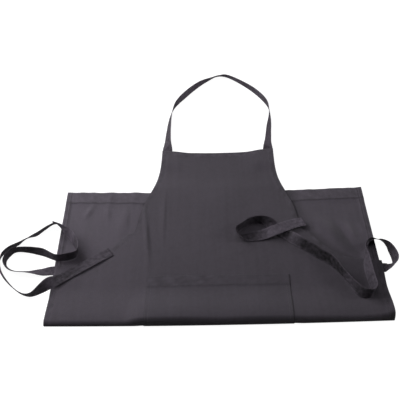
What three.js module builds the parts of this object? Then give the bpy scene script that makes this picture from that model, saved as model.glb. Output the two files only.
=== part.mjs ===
// A bib apron of charcoal cotton twill, lying with the lower half of its skirt folded under.
// Millimetres, +Z up. +Y runs from the fold at the front to the top of the bib, and X runs across.
// The finished group stands on Z = 0 and is centred in X and Y.
import * as THREE from "three";

// Driving sizes of the cloth as it lies
const SKIRT_WIDTH = 700;
const BIB_WIDTH = 280;
const UNDER_LENGTH = 384;
const TOP_LENGTH = 525;
const POCKET_WIDTH = 300;
const POCKET_TOP = 118;
const POCKET_UNDER = 56;
const STRAP_WIDTH = 25;
const STRAP_WALL = 1.6;

// Walls, hems and the small space kept between pieces
const WALL = 1;
const HEM_WALL = 1.8;
const SKIRT_HEM = 38;
const SIDE_HEM = 13;
const BIB_HEM = 18;
const POCKET_HEM = 28;
const HEM_STEP = 2;
const GAP = 0.3;

// How the cloth lies: sideways drift of the bib, hollow edges, the fold and the slope behind it
const BIB_SWAY = 12;
const BIB_HOLLOW = 8;
const SKIRT_HOLLOW = 7;
const FOLD_REACH = 8.7;
const FOLD_BOW = 3.7;
const FOLD_FOOT = 4;
const FOLD_DEPTH = 10;
const SETTLE_LENGTH = 90;
const DROP_LENGTH = 50;
const LIFT_MARGIN = 20;

// Heights that follow from the walls
const POCKET_STACK = GAP + WALL;
const SKIRT_REST = 2 * HEM_WALL + 1.5 * GAP;
const BIB_REST = HEM_WALL;

// Height of the loose roll at the fold, by share of the half width from the left edge to the right
const ROLL_ROWS = [
  { across: -1, height: 11.5 },
  { across: -0.8, height: 12 },
  { across: -0.54, height: 12 },
  { across: -0.46, height: 19 },
  { across: -0.25, height: 19.5 },
  { across: 0, height: 16.5 },
  { across: 0.17, height: 17.5 },
  { across: 0.46, height: 16.5 },
  { across: 0.83, height: 13.5 },
  { across: 0.92, height: 14.5 },
  { across: 1, height: 23 },
];

// Edge of the armhole from the waist up: how far it stands out beyond the side of the bib
const ARMHOLE_ROWS = [
  { y: 150, flare: (SKIRT_WIDTH - BIB_WIDTH) / 2 },
  { y: 154, flare: 178 },
  { y: 163, flare: 142 },
  { y: 180, flare: 112 },
  { y: 204, flare: 90 },
  { y: 226, flare: 73 },
  { y: 240, flare: 62 },
  { y: 250, flare: 48 },
  { y: 288, flare: 42 },
  { y: 328, flare: 35 },
  { y: 362, flare: 24 },
  { y: 395, flare: 13 },
  { y: 425, flare: 6 },
  { y: 465, flare: 1 },
  { y: 497, flare: 0 },
];
const WAIST = ARMHOLE_ROWS[0].y;

// Raised places over the sewn ends of the straps: middle, half size of the flat part, height
const LIFT_ROWS = [
  { x: -331, y: 139, halfX: 20, halfY: 14, height: 2.3 },
  { x: 333, y: 133, halfX: 22, halfY: 14, height: 2.6 },
  { x: -114, y: 512, halfX: 16, halfY: 26, height: 3.6 },
  { x: 138, y: 512, halfX: 16, halfY: 26, height: 5.2 },
];

// Pressed creases and soft swells of the top layer: middle, half length, half width, turn from +Y, height
const CREASE_ROWS = [
  { x: -155, y: 250, halfLength: 110, halfWidth: 18, turn: -6.6, height: 2.4 },
  { x: -116.5, y: 292, halfLength: 104, halfWidth: 12, turn: 0, height: 1.4 },
  { x: 176, y: 250, halfLength: 90, halfWidth: 26, turn: -14, height: 2.2 },
  { x: 20, y: 330, halfLength: 150, halfWidth: 60, turn: 8, height: 1.4 },
];

// Lines across the cloth, as distances from its middle where the skirt is full width
const SKIRT_MARKS = [SKIRT_WIDTH / 2, SKIRT_WIDTH / 2 - SIDE_HEM, SKIRT_WIDTH / 2 - SIDE_HEM - HEM_STEP];
const PANEL_MARKS = [312, 288, 260, 230, 200, 178, 166, 157, POCKET_WIDTH / 2, 134, 118, 102, 70, 35];

// Strap routes through the middle of the strap. rest is the height of its lower edge above the table, and
// lean turns its width about its run: 0 lies flat, positive raises the left edge, 90 stands on edge.
const ROUTE_COLUMNS = ["x", "y", "rest", "lean"];

const NECK_ROUTE = [
  [-115, 488, 0, 0],
  [-115, 526, 0, -2],
  [-115, 556, 0, -44],
  [-113, 616, 0, -61],
  [-108, 672, 0, -71],
  [-97, 714, 0, -81],
  [-72, 757, 0, -88],
  [-37, 802, 0, -79],
  [-2, 833, 0, -55],
  [24, 851, 0, -43],
  [53, 842, 0, -58],
  [94, 803, 0, -70],
  [130, 756, 0, -81],
  [152, 707, 0, -82],
  [154, 655, 0, -75],
  [147, 602, 0, -59],
  [142, 556, 0, -46],
  [139, 526, 0, -3],
  [138, 488, 0, 0],
];

const LEFT_ROUTE = [
  [-314, 139, 2.1, 0],
  [-352, 139.5, 2.1, 0.5],
  [-374, 135, 0.6, 14],
  [-404, 133, 0, 44],
  [-437, 136, 0, 53],
  [-454, 151, 0, 74],
  [-457, 169, 0, 91],
  [-450, 185, 0, 97],
  [-438, 194, 0, 106],
  [-412, 193, 0, 98],
  [-378, 185, 0, 86],
  [-346, 167, 2.4, 95],
  [-320, 169, 2.4, 92],
  [-304, 177, 2.4, 97],
  [-305, 197, 2.4, 106],
  [-313, 217, 2.4, 112],
  [-326, 237, 2.4, 110],
  [-341, 250, 2.8, 98],
  [-356, 266, 2, 68],
  [-366, 273, 0.4, 55],
  [-382, 259, 0, 62],
  [-400, 240, 0, 65],
  [-420, 230, 0, 50],
  [-434, 214, 0, 62],
  [-456, 197, 0, 68],
  [-468, 176, 0, 71],
  [-466, 148, 0, 76],
  [-449, 115, 0, 94],
  [-416, 79, 0, 110],
  [-390, 68, 0, 112],
  [-370, 81, 0.4, 82],
  [-352, 96, 5.2, 46],
  [-332, 112, 7.4, 6],
  [-280, 153, 5.8, -2],
  [-231, 190, 4.6, 0],
];

const RIGHT_ROUTE = [
  [314, 133, 2.1, 0],
  [340, 133, 2.1, 0],
  [357, 132, 2.1, -2],
  [367, 133, 0.5, -36],
  [380, 142, 0, -64],
  [382, 158, 0, -67],
  [377, 180, 0, -80],
  [370, 195, 0, -106],
  [359, 206, 1.2, -130],
  [346, 206, 2.6, -132],
  [331, 197, 2.6, -96],
  [321, 172, 5.7, -82],
  [318, 144, 7.4, -112],
  [318, 117, 7.4, -122],
  [320, 90, 5.4, -118],
  [321, 64, 8.4, -108],
  [314, 50, 10.2, -92],
  [302, 49, 10.6, -78],
  [290, 57, 9.2, -72],
  [279, 77, 6, -80],
  [263, 110, 4.8, -87],
  [243, 146, 4.6, -68],
  [216, 170, 4.6, -56],
  [186, 197, 5.2, -54],
  [170, 213, 5.6, -38],
  [156, 229, 5.6, -12],
  [134, 250, 5.6, -14],
  [118, 261, 5, -60],
  [100, 268, 4.6, -84],
  [78, 264, 4.6, -90],
  [60, 251, 4.6, -92],
  [46, 236, 4.6, -80],
  [55, 224, 4.6, -36],
  [78, 225, 4.6, 8],
  [104, 228, 6, 14],
  [130, 234, 13.6, 12],
  [153, 245, 14.2, 10],
  [177, 258, 11, 6],
  [200, 267, 8, 3],
];

const ROUTE_STEPS = 3;
const ROLL_STEPS = 8;

const { clamp, degToRad, smoothstep } = THREE.MathUtils;

// 1 where the distance is inside, falling smoothly to 0 over the margin
function plateau(distance, margin) {
  return 1 - smoothstep(distance, 0, margin);
}

// Value of a table's column at a place, eased from one row to the next
function lookUp(rows, places, values, at) {
  const next = rows.findIndex((row) => row[places] >= at);
  if (next <= 0) {
    return rows.at(next)[values];
  }
  const from = rows[next - 1];
  const to = rows[next];
  return from[values] + (to[values] - from[values]) * smoothstep(at, from[places], to[places]);
}

// Height of the roll at the fold for a share of the half width
function rollHeight(across) {
  return lookUp(ROLL_ROWS, "across", "height", across);
}

// How far what lies beneath, at a strap's sewn end, raises the top layer
function liftHeight(x, y) {
  let lift = 0;
  for (const row of LIFT_ROWS) {
    const side = plateau(Math.abs(x - row.x) - row.halfX, LIFT_MARGIN);
    const length = plateau(Math.abs(y - row.y) - row.halfY, LIFT_MARGIN);
    lift += row.height * side * length;
  }
  return lift;
}

// Height of the creases and swells of the top layer
function creaseHeight(x, y) {
  let height = 0;
  for (const row of CREASE_ROWS) {
    const turn = degToRad(row.turn);
    const along = (y - row.y) * Math.cos(turn) + (x - row.x) * Math.sin(turn);
    const aside = (x - row.x) * Math.cos(turn) - (y - row.y) * Math.sin(turn);
    const share = plateau(Math.abs(along), row.halfLength) * plateau(Math.abs(aside), row.halfWidth);
    height += row.height * share;
  }
  return height;
}

// Height at which the pocket's lower part holds the under layer off the table
function pocketLift(x, y) {
  const side = plateau(Math.abs(x) - POCKET_WIDTH / 2, LIFT_MARGIN);
  const length = plateau(y - POCKET_UNDER, LIFT_MARGIN);
  return POCKET_STACK * side * length;
}

// Line of the fold across the front, bowed forwards in the middle
function foldFront(across) {
  return FOLD_BOW * across * across - FOLD_REACH;
}

// Half the width of the top layer: the skirt up to the waist, then the curve of the armhole
function halfWidth(y) {
  return BIB_WIDTH / 2 + lookUp(ARMHOLE_ROWS, "y", "flare", y);
}

// Face of the layer that lies underneath
function underPoint(across, y) {
  const x = (across * SKIRT_WIDTH) / 2;
  const hollow = 1 - (SKIRT_HOLLOW / UNDER_LENGTH) * (1 - across * across);
  return new THREE.Vector3(x, y * hollow, pocketLift(x, y));
}

// Face of the roll at the fold, from its underside at -90 degrees to its top at 90, foremost at its foot
function rollPoint(across, degrees) {
  const x = (across * SKIRT_WIDTH) / 2;
  const angle = degToRad(degrees);
  const depth = degrees < 0 ? FOLD_FOOT : FOLD_DEPTH;
  const rise = degrees < 0 ? FOLD_FOOT : rollHeight(across) - FOLD_FOOT;
  const y = foldFront(across) + depth * (1 - Math.cos(angle));
  return new THREE.Vector3(x, y, pocketLift(x, 0) + FOLD_FOOT + rise * Math.sin(angle));
}

// Face of the layer that lies on top, settling from the roll to the skirt and past its hem to the table
function topPoint(across, y) {
  const climb = clamp((y - WAIST) / (TOP_LENGTH - WAIST), 0, 1);
  const x = across * halfWidth(y) + (BIB_SWAY * y) / TOP_LENGTH;
  const lengthwise = y + BIB_HOLLOW * (across * across - 0.5) * climb;
  const settled = smoothstep(y - foldFront(across) - FOLD_DEPTH, 0, SETTLE_LENGTH);
  const dropped = smoothstep(y - UNDER_LENGTH, 0, DROP_LENGTH);
  const bed = SKIRT_REST + (BIB_REST - SKIRT_REST) * dropped + liftHeight(x, lengthwise);
  const roll = pocketLift(x, 0) + rollHeight(across);
  return new THREE.Vector3(x, lengthwise, roll + (bed + creaseHeight(x, lengthwise) - roll) * settled);
}

// Closes two grids of points, face and back, into one wall with rims
function wallGeometry(face, back) {
  const rows = face.length;
  const columns = face[0].length;
  const lastRow = rows - 1;
  const lastColumn = columns - 1;
  const corner = (side, row, column) => (side * rows + row) * columns + column;
  const index = [];
  const quad = (a, b, c, d) => index.push(a, b, c, a, c, d);
  // A rim runs along two neighbouring points of the face and the points behind them
  const rim = (row, column, nextRow, nextColumn) => {
    const behind = corner(1, nextRow, nextColumn);
    quad(corner(0, row, column), corner(1, row, column), behind, corner(0, nextRow, nextColumn));
  };
  for (let row = 0; row < lastRow; row += 1) {
    for (let column = 0; column < lastColumn; column += 1) {
      const front = corner(0, row, column);
      const rear = corner(1, row, column);
      quad(front, front + 1, front + columns + 1, front + columns);
      quad(rear, rear + columns, rear + columns + 1, rear + 1);
    }
    rim(row + 1, 0, row, 0);
    rim(row, lastColumn, row + 1, lastColumn);
  }
  for (let column = 0; column < lastColumn; column += 1) {
    rim(0, column, 0, column + 1);
    rim(lastRow, column + 1, lastRow, column);
  }
  const geometry = new THREE.BufferGeometry();
  geometry.setFromPoints([...face.flat(), ...back.flat()]);
  geometry.setIndex(index);
  geometry.computeVertexNormals();
  return geometry;
}

// Directions out of the face of a grid of points
function gridNormals(grid) {
  return grid.map((points, row) =>
    points.map((_, column) => {
      const across = new THREE.Vector3().subVectors(
        points[Math.min(column + 1, points.length - 1)],
        points[Math.max(column - 1, 0)],
      );
      const along = new THREE.Vector3().subVectors(
        grid[Math.min(row + 1, grid.length - 1)][column],
        grid[Math.max(row - 1, 0)][column],
      );
      return across.cross(along).normalize();
    }),
  );
}

// A grid moved along its normals by a distance that may differ from point to point
function offsetGrid(grid, normals, distance) {
  const moved = (point, row, column) => {
    return point.clone().addScaledVector(normals[row][column], distance(row, column));
  };
  return grid.map((points, row) => points.map((point, column) => moved(point, row, column)));
}

// Rows of the panel in order, from the hem of the under layer round the fold to the top of the bib
function panelRows() {
  const rows = [];
  const skirtHem = UNDER_LENGTH - SKIRT_HEM;
  const beforePocket = [UNDER_LENGTH, skirtHem, skirtHem - HEM_STEP, 300, 255, 210, 165, 120];
  for (const y of [...beforePocket, POCKET_UNDER + LIFT_MARGIN, POCKET_UNDER, 36, 20]) {
    const pocketEnd = y === POCKET_UNDER;
    rows.push({ place: (across) => underPoint(across, y), hem: y >= skirtHem, pocketEnd });
  }
  for (let step = 0; step <= ROLL_STEPS; step += 1) {
    const degrees = -90 + (180 * step) / ROLL_STEPS;
    rows.push({ place: (across) => rollPoint(across, degrees) });
  }
  const mouthHem = POCKET_TOP - POCKET_HEM;
  for (const y of [10, 20, 30, 42, 56, 72, mouthHem - HEM_STEP, mouthHem, POCKET_TOP, 140]) {
    const pocketEnd = y === POCKET_TOP;
    rows.push({ place: (across) => topPoint(across, y), pocketHem: y >= mouthHem, pocketEnd });
  }
  const bibHemStart = TOP_LENGTH - BIB_HEM;
  for (const { y } of ARMHOLE_ROWS) {
    rows.push({ place: (across) => topPoint(across, y) });
  }
  for (const y of [bibHemStart - HEM_STEP, bibHemStart, TOP_LENGTH]) {
    rows.push({ place: (across) => topPoint(across, y), hem: y >= bibHemStart });
  }
  return rows;
}

// Lines across the cloth as shares of its half width, left to right
function panelColumns() {
  const right = [...SKIRT_MARKS, ...PANEL_MARKS].map((mark) => (2 * mark) / SKIRT_WIDTH);
  return [...right.map((share) => -share), 0, ...right.reverse()];
}

// The bib and skirt as one folded wall, thicker along its hems
function panelGeometry(rows, columns, face, normals) {
  const sideHem = 1 - (2 * SIDE_HEM) / SKIRT_WIDTH;
  const isHem = (row, column) => rows[row].hem || Math.abs(columns[column]) >= sideHem;
  const back = offsetGrid(face, normals, (row, column) => -(isHem(row, column) ? HEM_WALL : WALL));
  return wallGeometry(face, back);
}

// The patch pocket, lying on the face of the panel all the way round the fold
function pocketGeometry(rows, columns, face, normals) {
  const edge = POCKET_WIDTH / SKIRT_WIDTH;
  const first = rows.findIndex((row) => row.pocketEnd);
  const last = rows.findLastIndex((row) => row.pocketEnd);
  const left = columns.findIndex((across) => across >= -edge);
  const right = columns.findLastIndex((across) => across <= edge);
  const patch = (grid) => grid.slice(first, last + 1).map((points) => points.slice(left, right + 1));
  const bed = patch(face);
  const outward = patch(normals);
  const back = offsetGrid(bed, outward, () => GAP);
  const outside = offsetGrid(bed, outward, (row) => GAP + (rows[first + row].pocketHem ? HEM_WALL : WALL));
  return wallGeometry(outside, back);
}

// A flat strap swept along its route, standing on its lower edge where it leans
function strapGeometry(route) {
  const named = (values) => Object.fromEntries(ROUTE_COLUMNS.map((name, column) => [name, values[column]]));
  const rows = route.map(named);
  const curve = (point) => new THREE.CatmullRomCurve3(rows.map(point), false, "catmullrom", 0.5);
  const places = curve(({ x, y, rest }) => new THREE.Vector3(x, y, rest));
  const leans = curve(({ lean }) => new THREE.Vector3(degToRad(lean), 0, 0));
  const count = (rows.length - 1) * ROUTE_STEPS;
  const sections = Array.from({ length: count + 1 }, (_, step) => {
    const lean = leans.getPoint(step / count).x;
    const middle = places.getPoint(step / count);
    middle.z = Math.max(middle.z, 0);
    middle.z += (STRAP_WIDTH / 2) * Math.abs(Math.sin(lean)) + (STRAP_WALL / 2) * Math.abs(Math.cos(lean));
    return { lean, middle };
  });
  const face = [];
  const back = [];
  sections.forEach(({ lean, middle }, step) => {
    const before = sections[Math.max(step - 1, 0)].middle;
    const after = sections[Math.min(step + 1, count)].middle;
    const run = new THREE.Vector3().subVectors(after, before).normalize();
    const level = new THREE.Vector3(-run.y, run.x, 0).normalize();
    const upward = new THREE.Vector3().crossVectors(run, level);
    const width = level.multiplyScalar(Math.cos(lean)).addScaledVector(upward, Math.sin(lean));
    const outward = new THREE.Vector3().crossVectors(run, width);
    const edge = width.multiplyScalar(STRAP_WIDTH / 2);
    const wall = outward.multiplyScalar(STRAP_WALL / 2);
    const section = (side) =>
      [1, -1].map((share) => middle.clone().addScaledVector(edge, share).addScaledVector(wall, side));
    face.push(section(1));
    back.push(section(-1));
  });
  return wallGeometry(face, back);
}

// A named piece in its own charcoal cloth
function piece(name, geometry, color) {
  const material = new THREE.MeshStandardMaterial({ color, roughness: 0.95, metalness: 0 });
  const mesh = new THREE.Mesh(geometry, material);
  mesh.name = name;
  return mesh;
}

const rows = panelRows();
const columns = panelColumns();
const face = rows.map((row) => columns.map((across) => row.place(across)));
const normals = gridNormals(face);

const apron = new THREE.Group();
apron.add(
  piece("apron_panel", panelGeometry(rows, columns, face, normals), 0x4a464d),
  piece("pocket", pocketGeometry(rows, columns, face, normals), 0x454148),
  piece("neck_strap", strapGeometry(NECK_ROUTE), 0x504c52),
  piece("tie_left", strapGeometry(LEFT_ROUTE), 0x4d494f),
  piece("tie_right", strapGeometry(RIGHT_ROUTE), 0x4d494f),
);

const box = new THREE.Box3().setFromObject(apron);
const middle = box.getCenter(new THREE.Vector3());
apron.position.set(-middle.x, -middle.y, -box.min.z);

export default apron;
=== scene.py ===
"""A charcoal bib apron that lies on a pale floor with the lower half of its skirt folded under.

The cloth is worked out in millimetres in the apron's own frame: X to the right, Y from the fold at the
front to the top of the bib, Z up off the floor. The panel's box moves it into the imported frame, in metres.
"""

import logging
import math
from abc import ABC, abstractmethod
from collections.abc import Sequence
from dataclasses import dataclass, field
from enum import Enum
from typing import NamedTuple

import bpy
import numpy as np
from mathutils import Matrix, Vector


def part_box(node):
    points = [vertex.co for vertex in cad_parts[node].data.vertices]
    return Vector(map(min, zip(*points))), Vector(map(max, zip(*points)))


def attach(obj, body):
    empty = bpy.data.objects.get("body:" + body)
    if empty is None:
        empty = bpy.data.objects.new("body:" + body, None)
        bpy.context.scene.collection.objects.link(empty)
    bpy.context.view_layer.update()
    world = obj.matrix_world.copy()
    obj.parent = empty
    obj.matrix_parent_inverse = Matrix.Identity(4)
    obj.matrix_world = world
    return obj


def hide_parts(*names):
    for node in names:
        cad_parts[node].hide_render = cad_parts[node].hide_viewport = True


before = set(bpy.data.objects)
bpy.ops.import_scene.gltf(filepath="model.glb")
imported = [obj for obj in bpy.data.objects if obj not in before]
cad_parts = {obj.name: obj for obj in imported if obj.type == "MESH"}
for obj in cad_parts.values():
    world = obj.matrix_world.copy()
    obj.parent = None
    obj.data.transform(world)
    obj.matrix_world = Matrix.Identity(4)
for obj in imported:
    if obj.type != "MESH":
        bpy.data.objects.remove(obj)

LOG = logging.getLogger("apron")
MM = 0.001
BODY = "root"
RUMPLE_WAVES = 9
ROUNDEST_RIM = 0.94
# The mix node's inputs and output for colours come after those for numbers and vectors.
MIX_INPUTS = (0, 6, 7)
MIX_OUTPUT = 2
# A wave texture of scale 1 has bands of this width, in metres.
WAVE_BAND = 0.314

Grid = np.ndarray
Colour = tuple[float, float, float]


class Slot(Enum):
    """Material slots of the record."""

    PANEL = "panel_cloth"
    POCKET = "pocket_cloth"
    STRAP = "strap_tape"


class Held(Enum):
    """How a sheet of cloth is held."""

    FOLDED = "folded"
    LAID = "laid"


class Layer(Enum):
    """The stretches of the panel, from the skirt's hem to the top of the bib."""

    UNDER = "under"
    ROLL = "roll"
    TOP = "top"


class Side(Enum):
    """The two faces of the cloth: the right side, and the wrong side behind it."""

    FACE = 1
    BACK = -1


class WaveRow(NamedTuple):
    """Waves of an uneven surface: the shortest and longest in millimetres, and the seed that picks them."""

    shortest: float
    longest: float
    seed: int


class NoiseRow(NamedTuple):
    """A noise over cloth: its features a metre, across and along, and its detail."""

    across: float
    along: float
    detail: float


class SpindleRow(NamedTuple):
    """A ring of a stitch: its place along, its girth and its rise, as shares of the stitch's own sizes."""

    along: float
    girth: float
    rise: float


class RollRow(NamedTuple):
    """Height of the loose roll at the fold, at a share of the half width."""

    across: float
    height: float


class ArmholeRow(NamedTuple):
    """How far the edge of the armhole stands out beyond the side of the bib, at a place along the cloth."""

    y: float
    flare: float


class LiftRow(NamedTuple):
    """A raised place over a strap's sewn end: its middle, half size and height."""

    x: float
    y: float
    half_x: float
    half_y: float
    height: float


class CreaseRow(NamedTuple):
    """A crease, swell, or line of painted shade or painted highlight: its middle, half length, widths left
    and right, turn and height.

    The turn is in degrees from +Y towards +X.
    """

    x: float
    y: float
    half_length: float
    left: float
    right: float
    turn: float
    height: float

    def turned(self, x: Grid, y: Grid) -> tuple[Grid, Grid]:
        """Measure places from the crease's middle.

        Args:
            x: Places across, in millimetres.
            y: Places along the cloth, in millimetres.

        Returns:
            How far they lie along the crease, and how far to its right.
        """
        cos, sin = math.cos(math.radians(self.turn)), math.sin(math.radians(self.turn))
        along = (y - self.y) * cos + (x - self.x) * sin
        return along, (x - self.x) * cos - (y - self.y) * sin


class Halves(NamedTuple):
    """One amount for the left half of the pocket and one for the right."""

    left: float
    right: float

    def at(self, marks: Grid) -> Grid:
        """Give the amount at each mark across."""
        return np.where(marks > 0.0, self.right, self.left)


class TapeRow(NamedTuple):
    """A line along the tape: its share of the half width, and its share of the full thickness."""

    share: float
    girth: float


class RouteRow(NamedTuple):
    """A point of a strap's route: its middle, the height of its lower edge, and how far it leans."""

    x: float
    y: float
    rest: float
    lean: float


class PaintedLightRow(NamedTuple):
    """A stretch of tape between two points of its route with painted light, or painted shade if below 0."""

    first: float
    last: float
    amount: float


class LampRow(NamedTuple):
    """A soft round lamp aimed at the apron: its place in millimetres, its size in metres and its power."""

    name: str
    x: float
    y: float
    z: float
    size: float
    power: float


def smooth(value: Grid, start: float, end: float) -> Grid:
    """Ease from 0 at start to 1 at end."""
    share = np.clip((np.asarray(value, float) - start) / (end - start), 0.0, 1.0)
    return share * share * (3.0 - 2.0 * share)


def plateau(distance: Grid, margin: float) -> Grid:
    """Give 1 where the distance is inside, falling smoothly to 0 over the margin."""
    return 1.0 - smooth(distance, 0.0, margin)


def ridge(distance: Grid, reach: float) -> Grid:
    """Give 1 on a line, falling smoothly to 0 on both sides of it."""
    return plateau(np.abs(distance), reach)


def unit(vectors: Grid) -> Grid:
    """Scale vectors to length 1."""
    return vectors / np.maximum(np.linalg.norm(vectors, axis=-1, keepdims=True), 1e-9)


def ways_out(face: Grid) -> Grid:
    """Work out the way out of a grid of points."""
    return unit(np.cross(np.gradient(face, axis=1), np.gradient(face, axis=0)))


def round_rim(edge: Grid, rim: float) -> Grid:
    """Give the share of its thickness that cloth has at a distance from its rounded edge."""
    return np.sqrt(1.0 - np.clip(1.0 - edge / rim, 0.0, ROUNDEST_RIM) ** 2)


def mirrored(right: Grid) -> Grid:
    """Repeat marks that start at 0 on the left."""
    return np.r_[-right[:0:-1], right]


def steps_between(line: Grid) -> Grid:
    """Measure the step from each point of a line to the next."""
    return np.linalg.norm(np.diff(line, axis=0), axis=1)


def lengths_along(line: Grid) -> Grid:
    """Measure the length of a line up to each of its points."""
    return np.r_[0.0, np.cumsum(steps_between(line))]


def read_along(places: Grid, lengths: Grid, values: Grid) -> Grid:
    """Read vectors at places along a line, between the points where they are known."""
    return np.stack([np.interp(places, lengths, column) for column in values.T], 1)


def curve_through(rows: Grid, steps: int) -> Grid:
    """Draw a uniform Catmull-Rom curve through rows of values.

    Args:
        rows: One row for each point that the curve passes through.
        steps: How many points it has from one row to the next.

    Returns:
        The curve's points, with the last row at its end.
    """
    ends = np.vstack([2 * rows[0] - rows[1], rows, 2 * rows[-1] - rows[-2]])
    share = (np.arange(steps) / steps)[:, None]
    spans = []
    for first, second, third, fourth in zip(ends, ends[1:], ends[2:], ends[3:]):
        bend = 2 * first - 5 * second + 4 * third - fourth
        twist = 3 * second - first - 3 * third + fourth
        spans.append(second + ((third - first) * share + bend * share**2 + twist * share**3) / 2)
    return np.vstack([*spans, rows[-1:]])


def rumple(x: Grid, y: Grid, row: WaveRow) -> Grid:
    """Give a smooth uneven height between about -1 and 1.

    Args:
        x: Places across, in millimetres.
        y: Places along, in millimetres.
        row: The waves, whose seed gives the same cloth on every run.

    Returns:
        The height at each place.
    """
    waves = np.random.default_rng(row.seed)
    total = np.zeros_like(np.asarray(x, float))
    for share in np.linspace(0.0, 1.0, RUMPLE_WAVES):
        length = row.shortest * (row.longest / row.shortest) ** share
        turn = waves.uniform(0.0, math.tau)
        shift = waves.uniform(0.0, math.tau)
        along = np.asarray(x) * math.cos(turn) + np.asarray(y) * math.sin(turn)
        total = total + np.sin(math.tau * along / length + shift)
    return total / (RUMPLE_WAVES / 2)


def add_object(name: str, data: bpy.types.ID) -> bpy.types.Object:
    """Make an object and put it in the scene.

    Args:
        name: The object's name.
        data: Its mesh, camera or light.

    Returns:
        The new object.
    """
    made = bpy.data.objects.new(name, data)
    bpy.context.collection.objects.link(made)
    return made


class NodeBoard:
    """A small helper that adds and links the nodes of one tree."""

    def __init__(self, tree: bpy.types.NodeTree) -> None:
        """Start from an empty tree."""
        self.tree = tree
        self.tree.nodes.clear()

    def join(self, value: object, target: bpy.types.NodeSocket) -> None:
        """Link a socket to an input, or set a plain value on it.

        Args:
            value: A socket, a number, a colour or a vector.
            target: The input.
        """
        if isinstance(value, bpy.types.NodeSocket):
            self.tree.links.new(value, target)
        else:
            target.default_value = value

    def feed(self, node: bpy.types.Node, values: dict[str, object]) -> None:
        """Link or set the inputs of a node by their names."""
        for name, value in values.items():
            self.join(value, node.inputs[name])

    def add(self, kind: str, values: dict[str, object] | None = None, **settings: object) -> bpy.types.Node:
        """Add a node.

        Args:
            kind: The node's type.
            values: A socket or a plain value for each input that is fed.
            **settings: The node's properties.

        Returns:
            The new node.
        """
        node = self.tree.nodes.new(kind)
        for name, value in settings.items():
            setattr(node, name, value)
        self.feed(node, values or {})
        return node

    def math(self, operation: str, first: object, second: object) -> bpy.types.NodeSocket:
        """Add a math node on two sockets or numbers.

        Args:
            operation: The node's operation, such as MULTIPLY.
            first: A socket or a number.
            second: A socket or a number.

        Returns:
            The node's result.
        """
        node = self.add("ShaderNodeMath", operation=operation)
        self.join(first, node.inputs[0])
        self.join(second, node.inputs[1])
        return node.outputs[0]

    def total(self, start: object, *parts: tuple[bpy.types.NodeSocket, float]) -> bpy.types.NodeSocket:
        """Add up parts, each times its weight.

        Args:
            start: A socket or a number that the parts are added to.
            *parts: Sockets and their weights.

        Returns:
            The sum.
        """
        for socket, weight in parts:
            start = self.math("ADD", start, self.math("MULTIPLY", socket, weight))
        return start

    def mix(self, share: object, first: object, second: object, blend: str = "MIX") -> bpy.types.NodeSocket:
        """Mix two colours by a share.

        Args:
            share: A socket or a number from 0 to 1.
            first: A colour or a socket.
            second: A colour or a socket.
            blend: The way the colours are mixed.

        Returns:
            The mixed colour.
        """
        node = self.add("ShaderNodeMix", data_type="RGBA", blend_type=blend)
        for place, value in zip(MIX_INPUTS, (share, first, second)):
            self.join(value, node.inputs[place])
        return node.outputs[MIX_OUTPUT]


def new_surface(name: str) -> tuple[bpy.types.Material, NodeBoard, bpy.types.Node]:
    """Start a material.

    Args:
        name: The material's name.

    Returns:
        The material, its board of nodes and its shader.
    """
    material = bpy.data.materials.new(name)
    material.use_nodes = True
    board = NodeBoard(material.node_tree)
    shader = board.add("ShaderNodeBsdfPrincipled")
    board.add("ShaderNodeOutputMaterial", {"Surface": shader.outputs["BSDF"]})
    return material, board, shader


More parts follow.
